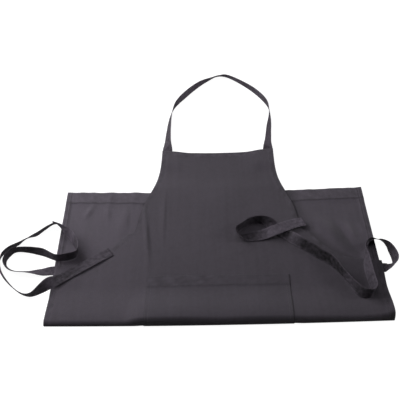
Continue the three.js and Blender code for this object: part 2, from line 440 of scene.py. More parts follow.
@dataclass(frozen=True)
class ClothFinish:
    """A woven cotton: colour, weave, slubs, fading, wear along its edges, and painted light and shade from
    its marks.
    """

    name: str
    colour: Colour
    pitch: float = 0.9
    slant: float = 45.0
    wrong_side: float = 1.3
    # wear: paleness of worn places and of painted highlights and light; seam: darkening along sewn lines and
    # of painted shade.
    wear_and_painted_light: float = 0.2
    seam: float = 0.6
    mottle: float = 0.12
    slub: float = 0.13
    crumple: float = 0.0
    sheen: float = 0.12
    sheen_rough: float = 0.55
    specular: float = 0.25
    rough: float = 0.84
    rough_threads: float = 0.12
    rib_tone: float = 0.16
    rib_distortion: float = 1.2
    rib_detail: float = 2.0
    rib_detail_scale: float = 1.6
    thread_tone: float = 0.5
    thread_relief: float = 1.4
    fade_tone: float = 0.3
    weave_strength: float = 0.35
    weave_height: float = 0.25
    crumple_height: float = 3.0
    warp: NoiseRow = NoiseRow(1400.0, 60.0, 3.0)
    weft: NoiseRow = NoiseRow(50.0, 1300.0, 3.0)
    fading: NoiseRow = NoiseRow(7.0, 6.0, 4.0)
    blotches: NoiseRow = NoiseRow(130.0, 110.0, 3.0)
    slubs: NoiseRow = NoiseRow(90.0, 5.0, 4.0)

    def _weave(self, board: NodeBoard, uv: bpy.types.NodeSocket) -> bpy.types.NodeSocket:
        """Make the diagonal ribs of the weave.

        Args:
            board: The material's board of nodes.
            uv: Places on the cloth, in metres.

        Returns:
            The height of the ribs, from 0 to 1.
        """
        slant = (0.0, 0.0, math.radians(self.slant))
        turned = board.add("ShaderNodeMapping", {"Vector": uv, "Rotation": slant})
        values = {
            "Vector": turned.outputs["Vector"],
            "Scale": WAVE_BAND / (self.pitch * MM),
            "Distortion": self.rib_distortion,
            "Detail": self.rib_detail,
            "Detail Scale": self.rib_detail_scale,
        }
        ribs = board.add("ShaderNodeTexWave", values, wave_type="BANDS", bands_direction="X")
        return ribs.outputs["Fac"]

    def _noise(self, board: NodeBoard, uv: bpy.types.NodeSocket, row: NoiseRow) -> bpy.types.NodeSocket:
        """Make a noise over the cloth.

        Args:
            board: The material's board of nodes.
            uv: Places on the cloth, in metres.
            row: The noise's size across and along, and its detail.

        Returns:
            The noise, from 0 to 1.
        """
        spread = board.add("ShaderNodeMapping", {"Vector": uv, "Scale": (row.across, row.along, 1.0)})
        values = {"Vector": spread.outputs["Vector"], "Scale": 1.0, "Detail": row.detail}
        return board.add("ShaderNodeTexNoise", values).outputs["Fac"]

    def build(self) -> bpy.types.Material:
        """Make the material.

        Returns:
            A material that reads the cloth's UV map and its attributes: wear with painted highlights and
            light, seams with painted shade, and the wrong side.
        """
        material, board, shader = new_surface(self.name)
        uv = board.add("ShaderNodeUVMap", uv_map="cloth").outputs["UV"]
        names = ("wear_and_painted_light", "seam", "wrong_side")
        marks = [board.add("ShaderNodeAttribute", attribute_name=name) for name in names]
        wear_and_painted_light, seam, wrong = (mark.outputs["Fac"] for mark in marks)
        ribs = self._weave(board, uv)
        rows = (self.warp, self.weft, self.fading, self.blotches, self.slubs)
        warp, weft, fading, blotches, slubs = (self._noise(board, uv, row) for row in rows)
        threads = board.total(0.0, (warp, 0.5), (weft, 0.5))
        tones = (
            (ribs, self.rib_tone),
            (threads, self.thread_tone),
            (fading, self.fade_tone),
            (blotches, 2.0 * self.mottle),
            (slubs, 2.0 * self.slub),
        )
        # Each part has a mean of a half, so that this start gives a mean tone of 1.
        tone = board.total(1.0 - sum(weight for _, weight in tones) / 2.0, *tones)
        tone = board.math("MULTIPLY", tone, board.total(1.0, (wrong, self.wrong_side - 1.0)))
        # Paler where the cloth is worn and where light is painted on.
        tone = board.total(tone, (wear_and_painted_light, self.wear_and_painted_light))
        # Darker along sewn lines, partly their own tone, and where shade is painted on.
        tone = board.math("MULTIPLY", tone, board.total(1.0, (seam, -self.seam)))
        grey = board.add("ShaderNodeCombineColor", {"Red": tone, "Green": tone, "Blue": tone})
        folds = {"Height": blotches, "Strength": self.crumple, "Distance": self.crumple_height * MM}
        weave = {
            "Height": board.total(ribs, (threads, self.thread_relief)),
            "Strength": self.weave_strength,
            "Distance": self.weave_height * MM,
            "Normal": board.add("ShaderNodeBump", folds).outputs["Normal"],
        }
        looks = {
            "Base Color": board.mix(1.0, (*self.colour, 1.0), grey.outputs["Color"], "MULTIPLY"),
            "Normal": board.add("ShaderNodeBump", weave).outputs["Normal"],
            "Roughness": board.total(self.rough, (threads, self.rough_threads)),
            "Specular IOR Level": self.specular,
            "Sheen Weight": self.sheen,
            "Sheen Roughness": self.sheen_rough,
        }
        board.feed(shader, looks)
        return material


@dataclass(frozen=True)
class ThreadFinish:
    """Spun sewing thread, darker between its plies."""

    name: str
    colour: Colour
    plies: float = 2400.0
    dark_share: float = 0.7
    rough: float = 0.7
    sheen: float = 0.1

    def build(self) -> bpy.types.Material:
        """Make the material.

        Returns:
            A material that is spread over the thread by its place.
        """
        material, board, shader = new_surface(self.name)
        place = board.add("ShaderNodeTexCoord").outputs["Object"]
        plies = board.add("ShaderNodeTexNoise", {"Vector": place, "Scale": self.plies})
        dark = tuple(self.dark_share * value for value in self.colour)
        looks = {
            "Base Color": board.mix(plies.outputs["Fac"], (*dark, 1.0), (*self.colour, 1.0)),
            "Roughness": self.rough,
            "Sheen Weight": self.sheen,
        }
        board.feed(shader, looks)
        return material


@dataclass(frozen=True)
class FloorFinish:
    """A pale matt floor that glows, so that it stays white under soft light."""

    name: str = "Pale_Floor"
    colour: Colour = (0.25, 0.25, 0.25)
    rough: float = 0.9
    glow_colour: Colour = (1.0, 1.0, 1.0)
    glow: float = 0.97

    def build(self) -> bpy.types.Material:
        """Make the material.

        Returns:
            A plain material.
        """
        material, board, shader = new_surface(self.name)
        looks = {
            "Base Color": (*self.colour, 1.0),
            "Roughness": self.rough,
            "Specular IOR Level": 0.0,
            "Emission Color": (*self.glow_colour, 1.0),
            "Emission Strength": self.glow,
        }
        board.feed(shader, looks)
        return material


@dataclass
class ClothMesh:
    """Two grids of points, face and back, that close into one wall of cloth."""

    name: str
    face: Grid
    back: Grid
    uv: Grid
    wear_and_painted_light: Grid
    seam: Grid

    def _quads(self) -> Grid:
        """List the quads of the face, the back and the rims.

        Returns:
            Four corners for each quad.
        """
        rows, columns = self.face.shape[:2]
        front = np.arange(rows * columns).reshape(rows, columns)
        rear = front + rows * columns
        sheets = [
            (front[:-1, :-1], front[:-1, 1:], front[1:, 1:], front[1:, :-1]),
            (rear[:-1, :-1], rear[1:, :-1], rear[1:, 1:], rear[:-1, 1:]),
            (front[1:, 0], front[:-1, 0], rear[:-1, 0], rear[1:, 0]),
            (front[:-1, -1], front[1:, -1], rear[1:, -1], rear[:-1, -1]),
            (front[0, :-1], rear[0, :-1], rear[0, 1:], front[0, 1:]),
            (front[-1, 1:], rear[-1, 1:], rear[-1, :-1], front[-1, :-1]),
        ]
        return np.concatenate([np.stack([side.ravel() for side in sheet], 1) for sheet in sheets])

    def build(self, shift: Vector) -> bpy.types.Object:
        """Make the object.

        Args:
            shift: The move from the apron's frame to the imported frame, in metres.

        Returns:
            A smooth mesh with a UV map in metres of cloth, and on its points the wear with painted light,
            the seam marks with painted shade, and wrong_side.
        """
        points = np.concatenate([self.face.reshape(-1, 3), self.back.reshape(-1, 3)])
        points[:, 2] = np.maximum(points[:, 2], 0.0)
        points = points * MM + np.array(shift)
        mesh = bpy.data.meshes.new(self.name)
        mesh.from_pydata(points.tolist(), [], self._quads().tolist())
        mesh.validate()
        corners = np.empty(len(mesh.loops), np.int32)
        mesh.loops.foreach_get("vertex_index", corners)
        flat = np.concatenate([self.uv.reshape(-1, 2)] * 2) * MM
        layer = mesh.uv_layers.new(name="cloth")
        layer.data.foreach_set("uv", flat[corners].astype(np.float32).ravel())
        half = len(points) // 2
        marks = {
            "wear_and_painted_light": np.tile(self.wear_and_painted_light.ravel(), 2),
            "seam": np.tile(self.seam.ravel(), 2),
            "wrong_side": np.r_[np.zeros(half), np.ones(half)],
        }
        for name, values in marks.items():
            attribute = mesh.attributes.new(name, "FLOAT", "POINT")
            attribute.data.foreach_set("value", values.astype(np.float32))
        mesh.shade_smooth()
        return add_object(self.name, mesh)


@dataclass
class Seam:
    """Stitches gathered from several lines of sewing into one mesh."""

    name: str
    pitch: float = 3.4
    length: float = 2.7
    width: float = 0.6
    height: float = 0.4
    probe: float = 0.5
    rings: tuple[SpindleRow, ...] = (
        SpindleRow(-0.5, 0.0, -0.25),
        SpindleRow(-0.28, 1.0, 0.1),
        SpindleRow(0.28, 1.0, 0.1),
        SpindleRow(0.5, 0.0, -0.25),
    )
    corners: tuple[tuple[float, float], ...] = ((0.5, 0.0), (0.0, 0.5), (-0.5, 0.0), (0.0, -0.5))
    middles: list[Grid] = field(default_factory=list)
    runs: list[Grid] = field(default_factory=list)
    ups: list[Grid] = field(default_factory=list)

    def sew(self, line: Grid, normals: Grid) -> None:
        """Lay stitches along a line of points.

        Args:
            line: Points on the cloth, in millimetres.
            normals: The way out of the cloth at each point.
        """
        lengths = lengths_along(line)
        places = np.arange(self.pitch / 2, lengths[-1], self.pitch)
        ahead = read_along(places + self.probe, lengths, line)
        behind = read_along(places - self.probe, lengths, line)
        self.middles.append(read_along(places, lengths, line))
        self.runs.append(unit(ahead - behind))
        self.ups.append(unit(read_along(places, lengths, normals)))

    def _faces(self) -> Grid:
        """List the triangles of one stitch.

        Returns:
            Three corners for each triangle, from its first tip, over two rings, to its last tip.
        """
        sides = len(self.corners)
        last = 2 * sides + 1
        faces = []
        for side in range(sides):
            near, far = 1 + side, 1 + side + sides
            next_near = 1 + (side + 1) % sides
            next_far = next_near + sides
            faces += [(0, next_near, near), (near, next_near, next_far)]
            faces += [(near, next_far, far), (last, far, next_far)]
        return np.array(faces)

    def build(self, shift: Vector) -> bpy.types.Object:
        """Make one mesh of all the stitches, each a small spindle that sinks in at its ends.

        Args:
            shift: The move from the apron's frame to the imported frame, in metres.

        Returns:
            The stitches.
        """
        middle, run, up = (np.concatenate(rows) for rows in (self.middles, self.runs, self.ups))
        side = np.cross(run, up)
        points = []
        for row in self.rings:
            centre = middle + run * row.along * self.length + up * row.rise * self.height
            for across, above in self.corners if row.girth else ((0.0, 0.0),):
                points.append(centre + side * across * self.width + up * above * self.height)
        spindles = np.stack(points, 1)
        spindles[..., 2] = np.maximum(spindles[..., 2], 0.0)
        starts = np.arange(len(middle))[:, None, None] * spindles.shape[1]
        places = spindles.reshape(-1, 3) * MM + np.array(shift)
        mesh = bpy.data.meshes.new(self.name)
        mesh.from_pydata(places.tolist(), [], (self._faces()[None] + starts).reshape(-1, 3).tolist())
        mesh.shade_smooth()
        return add_object(self.name, mesh)


@dataclass
class Drape:
    """How the apron lies: where each point of its cloth is."""

    skirt_width: float = 700.0
    bib_width: float = 280.0
    under_length: float = 384.0
    top_length: float = 525.0
    pocket_width: float = 300.0
    pocket_top: float = 118.0
    pocket_under: float = 56.0
    wall: float = 1.0
    hem_wall: float = 1.8
    skirt_hem: float = 38.0
    side_hem: float = 13.0
    bib_hem: float = 18.0
    gap: float = 0.3
    bib_sway: float = 12.0
    bib_hollow: float = 8.0
    skirt_hollow: float = 7.0
    fold_reach: float = 8.7
    fold_bow: float = 3.7
    fold_foot: float = 4.0
    fold_depth: float = 10.0
    settle_length: float = 90.0
    drop_length: float = 50.0
    lift_margin: float = 20.0
    lift_ease: float = 44.0
    edge_band: float = 24.0
    armhole_steps: int = 6
    bare_from: float = 4.0
    bare_by: float = 24.0
    rumple_height: float = 0.3
    under_waves: WaveRow = WaveRow(40.0, 160.0, 11)
    top_waves: WaveRow = WaveRow(35.0, 150.0, 5)
    pucker_height: float = 0.9
    pucker_ease: float = 14.0
    pucker_waves: WaveRow = WaveRow(20.0, 60.0, 31)
    roll_rows: tuple[RollRow, ...] = (
        RollRow(-1.0, 11.5),
        RollRow(-0.8, 12.0),
        RollRow(-0.54, 12.0),
        RollRow(-0.46, 19.0),
        RollRow(-0.25, 19.5),
        RollRow(0.0, 16.5),
        RollRow(0.17, 17.5),
        RollRow(0.46, 16.5),
        RollRow(0.83, 13.5),
        RollRow(0.92, 14.5),
        RollRow(1.0, 23.0),
    )
    armhole_rows: tuple[ArmholeRow, ...] = (
        ArmholeRow(150.0, 210.0),
        ArmholeRow(154.0, 178.0),
        ArmholeRow(163.0, 142.0),
        ArmholeRow(180.0, 112.0),
        ArmholeRow(204.0, 90.0),
        ArmholeRow(226.0, 73.0),
        ArmholeRow(240.0, 62.0),
        ArmholeRow(250.0, 48.0),
        ArmholeRow(288.0, 42.0),
        ArmholeRow(328.0, 35.0),
        ArmholeRow(362.0, 24.0),
        ArmholeRow(395.0, 13.0),
        ArmholeRow(425.0, 6.0),
        ArmholeRow(465.0, 1.0),
        ArmholeRow(497.0, 0.0),
    )
    lift_rows: tuple[LiftRow, ...] = (
        LiftRow(-331.0, 139.0, 20.0, 14.0, 2.3),
        LiftRow(333.0, 133.0, 22.0, 14.0, 2.6),
        LiftRow(-114.0, 512.0, 16.0, 26.0, 3.6),
        LiftRow(138.0, 512.0, 16.0, 26.0, 5.2),
    )
    top_creases: tuple[CreaseRow, ...] = (
        CreaseRow(-154.5, 236.0, 124.0, 9.0, 6.0, -6.0, 5.0),
        CreaseRow(-116.5, 292.0, 112.0, 18.0, 5.0, 0.0, 2.4),
        CreaseRow(-120.0, 150.0, 34.0, 4.0, 4.0, 0.0, 0.5),
        CreaseRow(115.0, 438.0, 76.0, 14.0, 12.0, 1.7, -0.8),
        CreaseRow(143.0, 446.0, 62.0, 11.0, 8.0, -15.0, 1.8),
        CreaseRow(176.0, 250.0, 90.0, 26.0, 26.0, -14.0, 2.2),
        CreaseRow(20.0, 330.0, 150.0, 60.0, 60.0, 8.0, 1.4),
    )
    under_creases: tuple[CreaseRow, ...] = (
        CreaseRow(-290.0, 317.0, 36.0, 12.0, 6.0, 23.0, 3.6),
        CreaseRow(-248.0, 314.0, 36.0, 11.0, 6.0, -5.0, 3.4),
        CreaseRow(-204.0, 291.0, 62.0, 26.0, 9.0, -1.0, 3.8),
        CreaseRow(256.0, 240.0, 70.0, 28.0, 27.0, -20.0, 6.5),
        CreaseRow(299.0, 238.0, 56.0, 13.0, 22.0, -18.0, 4.8),
        CreaseRow(331.0, 246.0, 32.0, 8.0, 7.0, -4.0, 2.2),
    )

    @property
    def half_skirt(self) -> float:
        """Half the width of the skirt."""
        return self.skirt_width / 2

    @property
    def waist(self) -> float:
        """Where the armholes begin."""
        return self.armhole_rows[0].y

    @property
    def skirt_rest(self) -> float:
        """Height of the top layer's face where it lies on the under layer."""
        return 2.0 * self.hem_wall + 1.5 * self.gap

    @property
    def pocket_stack(self) -> float:
        """Height at which the pocket's lower part holds the under layer."""
        return self.gap + self.wall

    def roll_height(self, across: Grid) -> Grid:
        """Work out the height of the roll at the fold, eased from one row to the next.

        Args:
            across: Places as shares of the half width.

        Returns:
            The height at each place.
        """
        places, heights = np.array(self.roll_rows).T
        first = np.clip(np.searchsorted(places, across) - 1, 0, len(places) - 2)
        share = smooth((across - places[first]) / (places[first + 1] - places[first]), 0.0, 1.0)
        return heights[first] + (heights[first + 1] - heights[first]) * share

    def armhole(self) -> Grid:
        """Draw the edge of the armhole as places along the cloth and half widths there."""
        curve = curve_through(np.array(self.armhole_rows, float), self.armhole_steps)
        return curve + np.array([0.0, self.bib_width / 2])

    def half_width(self, y: float) -> float:
        """Half the width of the top layer: the skirt up to the waist, then the curve of the armhole."""
        places, widths = self.armhole().T
        return float(np.interp(y, places, widths))

    def sway(self, y: float) -> float:
        """How far the top layer lies to the right at a place along it."""
        return self.bib_sway * y / self.top_length

    def cut_away(self) -> float:
        """Measure what is cut out of the full width for the two armholes.

        Returns:
            The area in square millimetres.
        """
        places, widths = self.armhole().T
        above = (self.top_length - places[-1]) * (self.skirt_width - self.bib_width)
        lost = self.skirt_width - widths[1:] - widths[:-1]
        return float(np.sum(lost * np.diff(places))) + above

    def spread(self, marks: Grid, y: float) -> Grid:
        """Move marks at full width in to the armhole, with the band along the edge kept at its width.

        Args:
            marks: Places across the full width.
            y: The place along the top layer.

        Returns:
            Places across the top layer there.
        """
        half = self.half_width(y)
        inner = self.half_skirt - self.edge_band
        scaled = np.abs(marks) * (half - self.edge_band) / inner
        banded = half - (self.half_skirt - np.abs(marks))
        return np.sign(marks) * np.where(np.abs(marks) > inner, banded, scaled)

    def pocket_lift(self, x: Grid, y: Grid) -> Grid:
        """Height at which the pocket holds the under layer off the floor."""
        side = plateau(np.abs(x) - self.pocket_width / 2, self.lift_margin)
        return self.pocket_stack * side * plateau(y - self.pocket_under, self.lift_margin)

    def fold_front(self, across: Grid) -> Grid:
        """Line of the fold across the front, bowed forwards in the middle."""
        return self.fold_bow * across * across - self.fold_reach

    def lifts(self, x: Grid, y: Grid) -> Grid:
        """Work out how far the straps' sewn ends raise the top layer.

        Args:
            x: Places across.
            y: Places along.

        Returns:
            The height at each place.
        """
        total = np.zeros_like(x)
        for row in self.lift_rows:
            side = plateau(np.abs(x - row.x) - row.half_x, self.lift_ease)
            total = total + row.height * side * plateau(np.abs(y - row.y) - row.half_y, self.lift_ease)
        return total

    def creases(self, rows: Sequence[CreaseRow], x: Grid, y: Grid) -> Grid:
        """Add up creases and swells, or lines of painted shade or highlight of the same form.

        Args:
            rows: The creases.
            x: Places across.
            y: Places along.

        Returns:
            The height, or the amount, at each place.
        """
        total = np.zeros_like(x)
        for row in rows:
            along, aside = row.turned(x, y)
            width = np.where(aside < 0.0, row.left, row.right)
            total = total + row.height * ridge(along / row.half_length, 1.0) * ridge(aside / width, 1.0)
        return total

    def under(self, marks: Grid, y: float) -> Grid:
        """Place the face of the layer that lies underneath, on the floor.

        Args:
            marks: Places across the full width.
            y: The place along the layer, from the fold.

        Returns:
            One point for each mark.
        """
        across = marks / self.half_skirt
        hollow = 1.0 - (self.skirt_hollow / self.under_length) * (1.0 - across * across)
        places = y * hollow
        bare = smooth(np.abs(marks) - self.half_width(y), self.bare_from, self.bare_by)
        wrinkles = self.creases(self.under_creases, marks, places)
        wrinkles = wrinkles + self.rumple_height * (1.0 + rumple(marks, places, self.under_waves))
        pucker = self.pucker_height * (1.0 + rumple(marks, np.zeros_like(marks), self.pucker_waves))
        wrinkles = wrinkles + pucker * plateau(self.under_length - y - self.skirt_hem, self.pucker_ease)
        height = self.pocket_lift(marks, np.full_like(marks, y)) + wrinkles * bare
        return np.stack([marks, places, height], -1)

    def roll(self, marks: Grid, degrees: float) -> Grid:
        """Place the face of the roll at the fold.

        Args:
            marks: Places across the full width.
            degrees: The place round the roll, from its underside at -90 to its top at 90.

        Returns:
            One point for each mark.
        """
        across = marks / self.half_skirt
        angle = math.radians(degrees)
        depth = self.fold_foot if degrees < 0.0 else self.fold_depth
        rise = self.fold_foot if degrees < 0.0 else self.roll_height(across) - self.fold_foot
        y = self.fold_front(across) + depth * (1.0 - math.cos(angle))
        height = self.pocket_lift(marks, np.zeros_like(marks)) + self.fold_foot + rise * math.sin(angle)
        return np.stack([marks, y, height], -1)

    def top(self, marks: Grid, y: float) -> Grid:
        """Place the face of the layer that lies on top, from the roll to the end of the bib.

        Args:
            marks: Places across the full width.
            y: The place along the layer, from the fold.

        Returns:
            One point for each mark.
        """
        local = self.spread(marks, y)
        across = local / self.half_width(y)
        climb = min(max((y - self.waist) / (self.top_length - self.waist), 0.0), 1.0)
        x = local + self.sway(y)
        places = y + self.bib_hollow * (across * across - 0.5) * climb
        settled = smooth(y - self.fold_front(across) - self.fold_depth, 0.0, self.settle_length)
        dropped = smooth(y - self.under_length, 0.0, self.drop_length)
        bed = self.skirt_rest + (self.hem_wall - self.skirt_rest) * dropped + self.lifts(x, places)
        bed = bed + self.creases(self.top_creases, x, places)
        bed = bed + self.rumple_height * rumple(x, places, self.top_waves)
        roll = self.pocket_lift(x, np.zeros_like(x)) + self.roll_height(np.clip(across, -1.0, 1.0))
        return np.stack([x, places, roll + (bed - roll) * settled], -1)


class SewnPiece(ABC):
    """A piece of cloth and its stitches: what the panel, the pocket and the straps share."""

    name: str
    node: str
    slot: Slot
    held: Held

    @abstractmethod
    def build(self, shift: Vector) -> bpy.types.Object:
        """Make the mesh of the piece."""

    @abstractmethod
    def stitch(self, shift: Vector) -> bpy.types.Object:
        """Make the mesh of its stitches."""

    @abstractmethod
    def flat(self) -> tuple[float, float]:
        """Give the width and length to which the cloth was cut, in millimetres."""

    def area(self) -> float | None:
        """Give the flat area in square metres, where it isn't the whole of width times length."""
        return None

    def dress(self, piece: bpy.types.Object, material: bpy.types.Material) -> None:
        """Give the piece, or its stitches, a material and a body.

        Args:
            piece: The mesh to dress.
            material: Its material.
        """
        piece.data.materials.append(material)
        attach(piece, BODY)

    def make(
        self,
        shift: Vector,
        cloth: bpy.types.Material,
        thread: bpy.types.Material,
        rests_on: Sequence[bpy.types.Object] = (),
    ) -> bpy.types.Object:
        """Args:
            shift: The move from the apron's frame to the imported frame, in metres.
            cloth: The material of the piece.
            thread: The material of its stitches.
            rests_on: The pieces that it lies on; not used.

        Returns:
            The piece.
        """
        piece = self.build(shift)
        self.dress(piece, cloth)
        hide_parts(self.node)
        seam = self.stitch(shift)
        self.dress(seam, thread)
        width, length = self.flat()
        self.area()
        LOG.info("%s: %.0f x %.0f mm of cloth", self.name, width, length)
        return piece


@dataclass(frozen=True)
class Row:
    """One line across the panel: its stretch, its place there, and the length of cloth up to it."""

    layer: Layer
    place: float
    along: float


@dataclass
class PanelGrid:
    """The panel's face, and how far its points lie from the sides, the skirt's hem and the bib's end."""

    rows: list[Row]
    marks: Grid
    face: Grid
    side: Grid
    low: Grid
    high: Grid

    @property
    def edge(self) -> Grid:
        """How far each point lies from the nearest edge."""
        return np.minimum(np.minimum(self.side, self.low), self.high)

    @property
    def under(self) -> Grid:
        """Whether each row is in the under layer."""
        return np.array([row.layer is Layer.UNDER for row in self.rows])[:, None]

    @property
    def places(self) -> Grid:
        """The place of each row along the top layer, or 0 elsewhere."""
        return np.array([row.place if row.layer is Layer.TOP else 0.0 for row in self.rows])[:, None]


@dataclass
class Panel(SewnPiece):
    """The bib and skirt: one folded piece of cloth, thicker along its hems."""

    drape: Drape
    name: str = "Apron_Panel"
    node: str = "apron_panel"
    slot: Slot = Slot.PANEL
    held: Held = Held.FOLDED
    mesh_step: float = 5.0
    skirt_step: float = 4.0
    edge_clear: float = 6.0
    fold_clear: float = 3.0
    waist_clear: float = 1.0
    roll_steps: int = 24
    rim_lines: tuple[float, ...] = (0.0, 0.35, 0.9)
    hem_steps: tuple[float, ...] = (-3.7, -2.0, -0.3, 0.6)
    hem_slope: float = 0.4
    probe: float = 0.5
    stitch_inset: float = 2.0
    stitch_points: int = 281
    side_line: float = 5.5
    side_line_step: float = 1.6
    top_line: float = 6.0
    edge_reach: float = 2.5
    hem_reach: float = 2.0
    hem_wear: float = 0.5
    top_wear: float = 0.3
    bib_edge_highlight: float = 1.8
    lit_side_tone: float = 0.45
    lit_side_ease: float = 12.0
    hem_pucker_shading: float = 1.0
    pleat_waves: WaveRow = WaveRow(12.0, 45.0, 41)
    seam_reach: float = 1.7
    skirt_seam_reach: float = 2.38
    armhole_shadow_reach: float = 1.6
    side_line_seam: float = 0.7
    face_seam: float = 0.25
    top_seam: float = 0.2
    # Painted shadow on the under layer beside the bib's right edge, and a dark spot by the left armhole
    # edge.
    shade_tone: float = 0.7
    shade_reach: float = 34.0
    dark_spot: tuple[float, float] = (-166.0, 343.0)
    dark_spot_size: tuple[float, float] = (7.2, 10.8)
    # Painted shade in a valley, and painted highlights on crests, of the under layer's creases on the right.
    shaded_valleys: tuple[CreaseRow, ...] = (CreaseRow(287.0, 222.0, 80.0, 36.0, 9.0, -21.0, 0.6),)
    lit_crests: tuple[CreaseRow, ...] = (
        CreaseRow(300.0, 238.0, 56.0, 8.0, 14.0, -18.0, 0.9),
        CreaseRow(328.0, 242.0, 30.0, 7.0, 6.0, -4.0, 1.2),
    )

    def rows(self) -> list[Row]:
        """List the lines across the panel.

        Returns:
            The lines from the skirt's hem round the fold to the top of the bib.
        """
        cut = self.drape
        hem = [cut.skirt_hem + step for step in self.hem_steps]
        inner = np.arange(self.edge_clear, cut.under_length - self.fold_clear, self.mesh_step)
        offsets = np.unique(np.r_[self.rim_lines, hem, inner])
        rows = [Row(Layer.UNDER, cut.under_length - offset, offset) for offset in offsets]
        foot = cut.fold_foot * math.pi / 2
        arc = foot + (cut.fold_depth + cut.roll_rows[0].height - cut.fold_foot) * math.pi / 4
        start = cut.under_length + cut.fold_reach - cut.fold_foot
        for step in range(self.roll_steps + 1):
            share = step / self.roll_steps
            rows.append(Row(Layer.ROLL, -90.0 + 180.0 * share, start + arc * share))
        start = start + arc + cut.fold_reach - cut.fold_depth
        skirt = np.arange(2.0 * self.skirt_step, cut.waist - self.waist_clear, self.skirt_step)
        hem = [cut.bib_hem + step for step in self.hem_steps]
        line = [self.top_line + step for step in (-self.seam_reach, 0.0, self.seam_reach)]
        end = [cut.top_length - depth for depth in (*hem, 2.0 * self.top_line, *line, *self.rim_lines)]
        for y in np.unique(np.r_[skirt, cut.armhole()[:, 0], end]):
            rows.append(Row(Layer.TOP, y, start + y))
        return rows

    def marks(self) -> Grid:
        """List the lines along the panel.

        Returns:
            Their places across the full width, from left to right.
        """
        half = self.drape.half_skirt
        hem = half - self.drape.side_hem
        edge = [half - step for step in self.rim_lines] + [hem - step for step in self.hem_steps]
        line = [half - self.side_line - step for step in (-self.side_line_step, 0.0, self.side_line_step)]
        inner = hem - self.edge_clear
        lines = np.linspace(0.0, inner, int(inner / self.mesh_step) + 1)
        return mirrored(np.unique(np.r_[lines, edge, line]))

    def line(self, row: Row, marks: Grid) -> Grid:
        """Place one line across the panel."""
        place = {Layer.UNDER: self.drape.under, Layer.ROLL: self.drape.roll, Layer.TOP: self.drape.top}
        return place[row.layer](marks, row.place)

    def grid(self) -> PanelGrid:
        """Work out the panel's face and its distances from the edges.

        Returns:
            The grid of all rows and marks.
        """
        rows = self.rows()
        marks = self.marks()
        face = np.stack([self.line(row, marks) for row in rows])
        side = np.broadcast_to(self.drape.half_skirt - np.abs(marks), face.shape[:2])
        low = np.array([row.along for row in rows])[:, None] + np.zeros_like(side)
        return PanelGrid(rows, marks, face, side, low, low.max() - low)

    def hems(self, grid: PanelGrid) -> Grid:
        """Mark the hems.

        Args:
            grid: The panel's grid.

        Returns:
            1 on the hems and 0 elsewhere.
        """
        cut = self.drape
        depths = ((grid.side, cut.side_hem), (grid.low, cut.skirt_hem), (grid.high, cut.bib_hem))
        return np.max([plateau(distance - depth, self.hem_slope) for distance, depth in depths], axis=0)

    def covered(self, grid: PanelGrid) -> Grid:
        """Tell which rows of the top layer lie over the under layer, above the waist."""
        return (grid.places > self.drape.waist) & (grid.places < self.drape.under_length)

    def worn_and_lit(self, grid: PanelGrid) -> Grid:
        """Work out where the cloth is paler: worn on edges and hems, with painted highlights on the bib's
        edges, on crests and left of the long crease, and painted light and shade in patches along the hems.

        Args:
            grid: The panel's grid.

        Returns:
            The wear and painted light at each point.
        """
        cut = self.drape
        ridges = (
            (grid.edge, self.edge_reach, 1.0),
            (grid.side - cut.side_hem, self.hem_reach, self.hem_wear),
            (grid.low - cut.skirt_hem, self.hem_reach, self.hem_wear),
            (grid.high - self.top_line - self.stitch_inset, self.edge_reach, self.hem_wear),
            (grid.high - cut.bib_hem + 2.0 * self.stitch_inset, self.edge_reach, self.top_wear),
        )
        wear_and_painted_light = np.max([amount * ridge(distance, reach) for distance, reach, amount in ridges], axis=0)
        # Painted highlight: the bib's edges are paler than wear alone makes them, as if they caught the
        # light.
        bib_highlight = np.where(grid.places > cut.under_length, self.bib_edge_highlight, 1.0)
        wear_and_painted_light = wear_and_painted_light * np.where(self.covered(grid), 0.0, bib_highlight)
        x, y = grid.face[..., 0], grid.face[..., 1]
        # Painted light: the top layer left of the long crease is paler, as if more light fell on that side.
        aside = cut.top_creases[0].turned(x, y)[1]
        wear_and_painted_light = wear_and_painted_light + self.lit_side_tone * smooth(-aside, 0.0, self.lit_side_ease) * ~grid.under
        # Painted light and shade: paler and darker patches along the hems, as light falls on puckers.
        wear_and_painted_light = wear_and_painted_light + self.hem_pucker_shading * self.hems(grid) * rumple(x, grid.low, self.pleat_waves)
        # Painted highlights on crests of the under layer.
        return wear_and_painted_light + cut.creases(self.lit_crests, x, y) * grid.under

    def shaded(self, grid: PanelGrid) -> Grid:
        """Work out where the under layer is darker: a painted shadow beside the bib's right edge, a dark
        spot by the left armhole edge, and painted shade in valleys.

        Args:
            grid: The panel's grid.

        Returns:
            The shade at each point.
        """
        cut = self.drape
        edges = np.array([cut.half_width(row.place) + cut.sway(row.place) for row in grid.rows])[:, None]
        gap = np.maximum(grid.marks[None] - edges, 0.0)
        # Painted shadow: the under layer darkens beside the bib's right edge.
        bib_edge_shadow = self.shade_tone * plateau(gap, self.shade_reach) * (grid.marks > 0)
        rows = np.array([row.place for row in grid.rows])[:, None]
        x, y = np.broadcast_arrays(grid.marks[None], rows)
        dark_spot = np.hypot((x - self.dark_spot[0]) / self.dark_spot_size[0], (y - self.dark_spot[1]) / self.dark_spot_size[1])
        return np.max([bib_edge_shadow, plateau(dark_spot, 1.0), cut.creases(self.shaded_valleys, x, y)], axis=0)

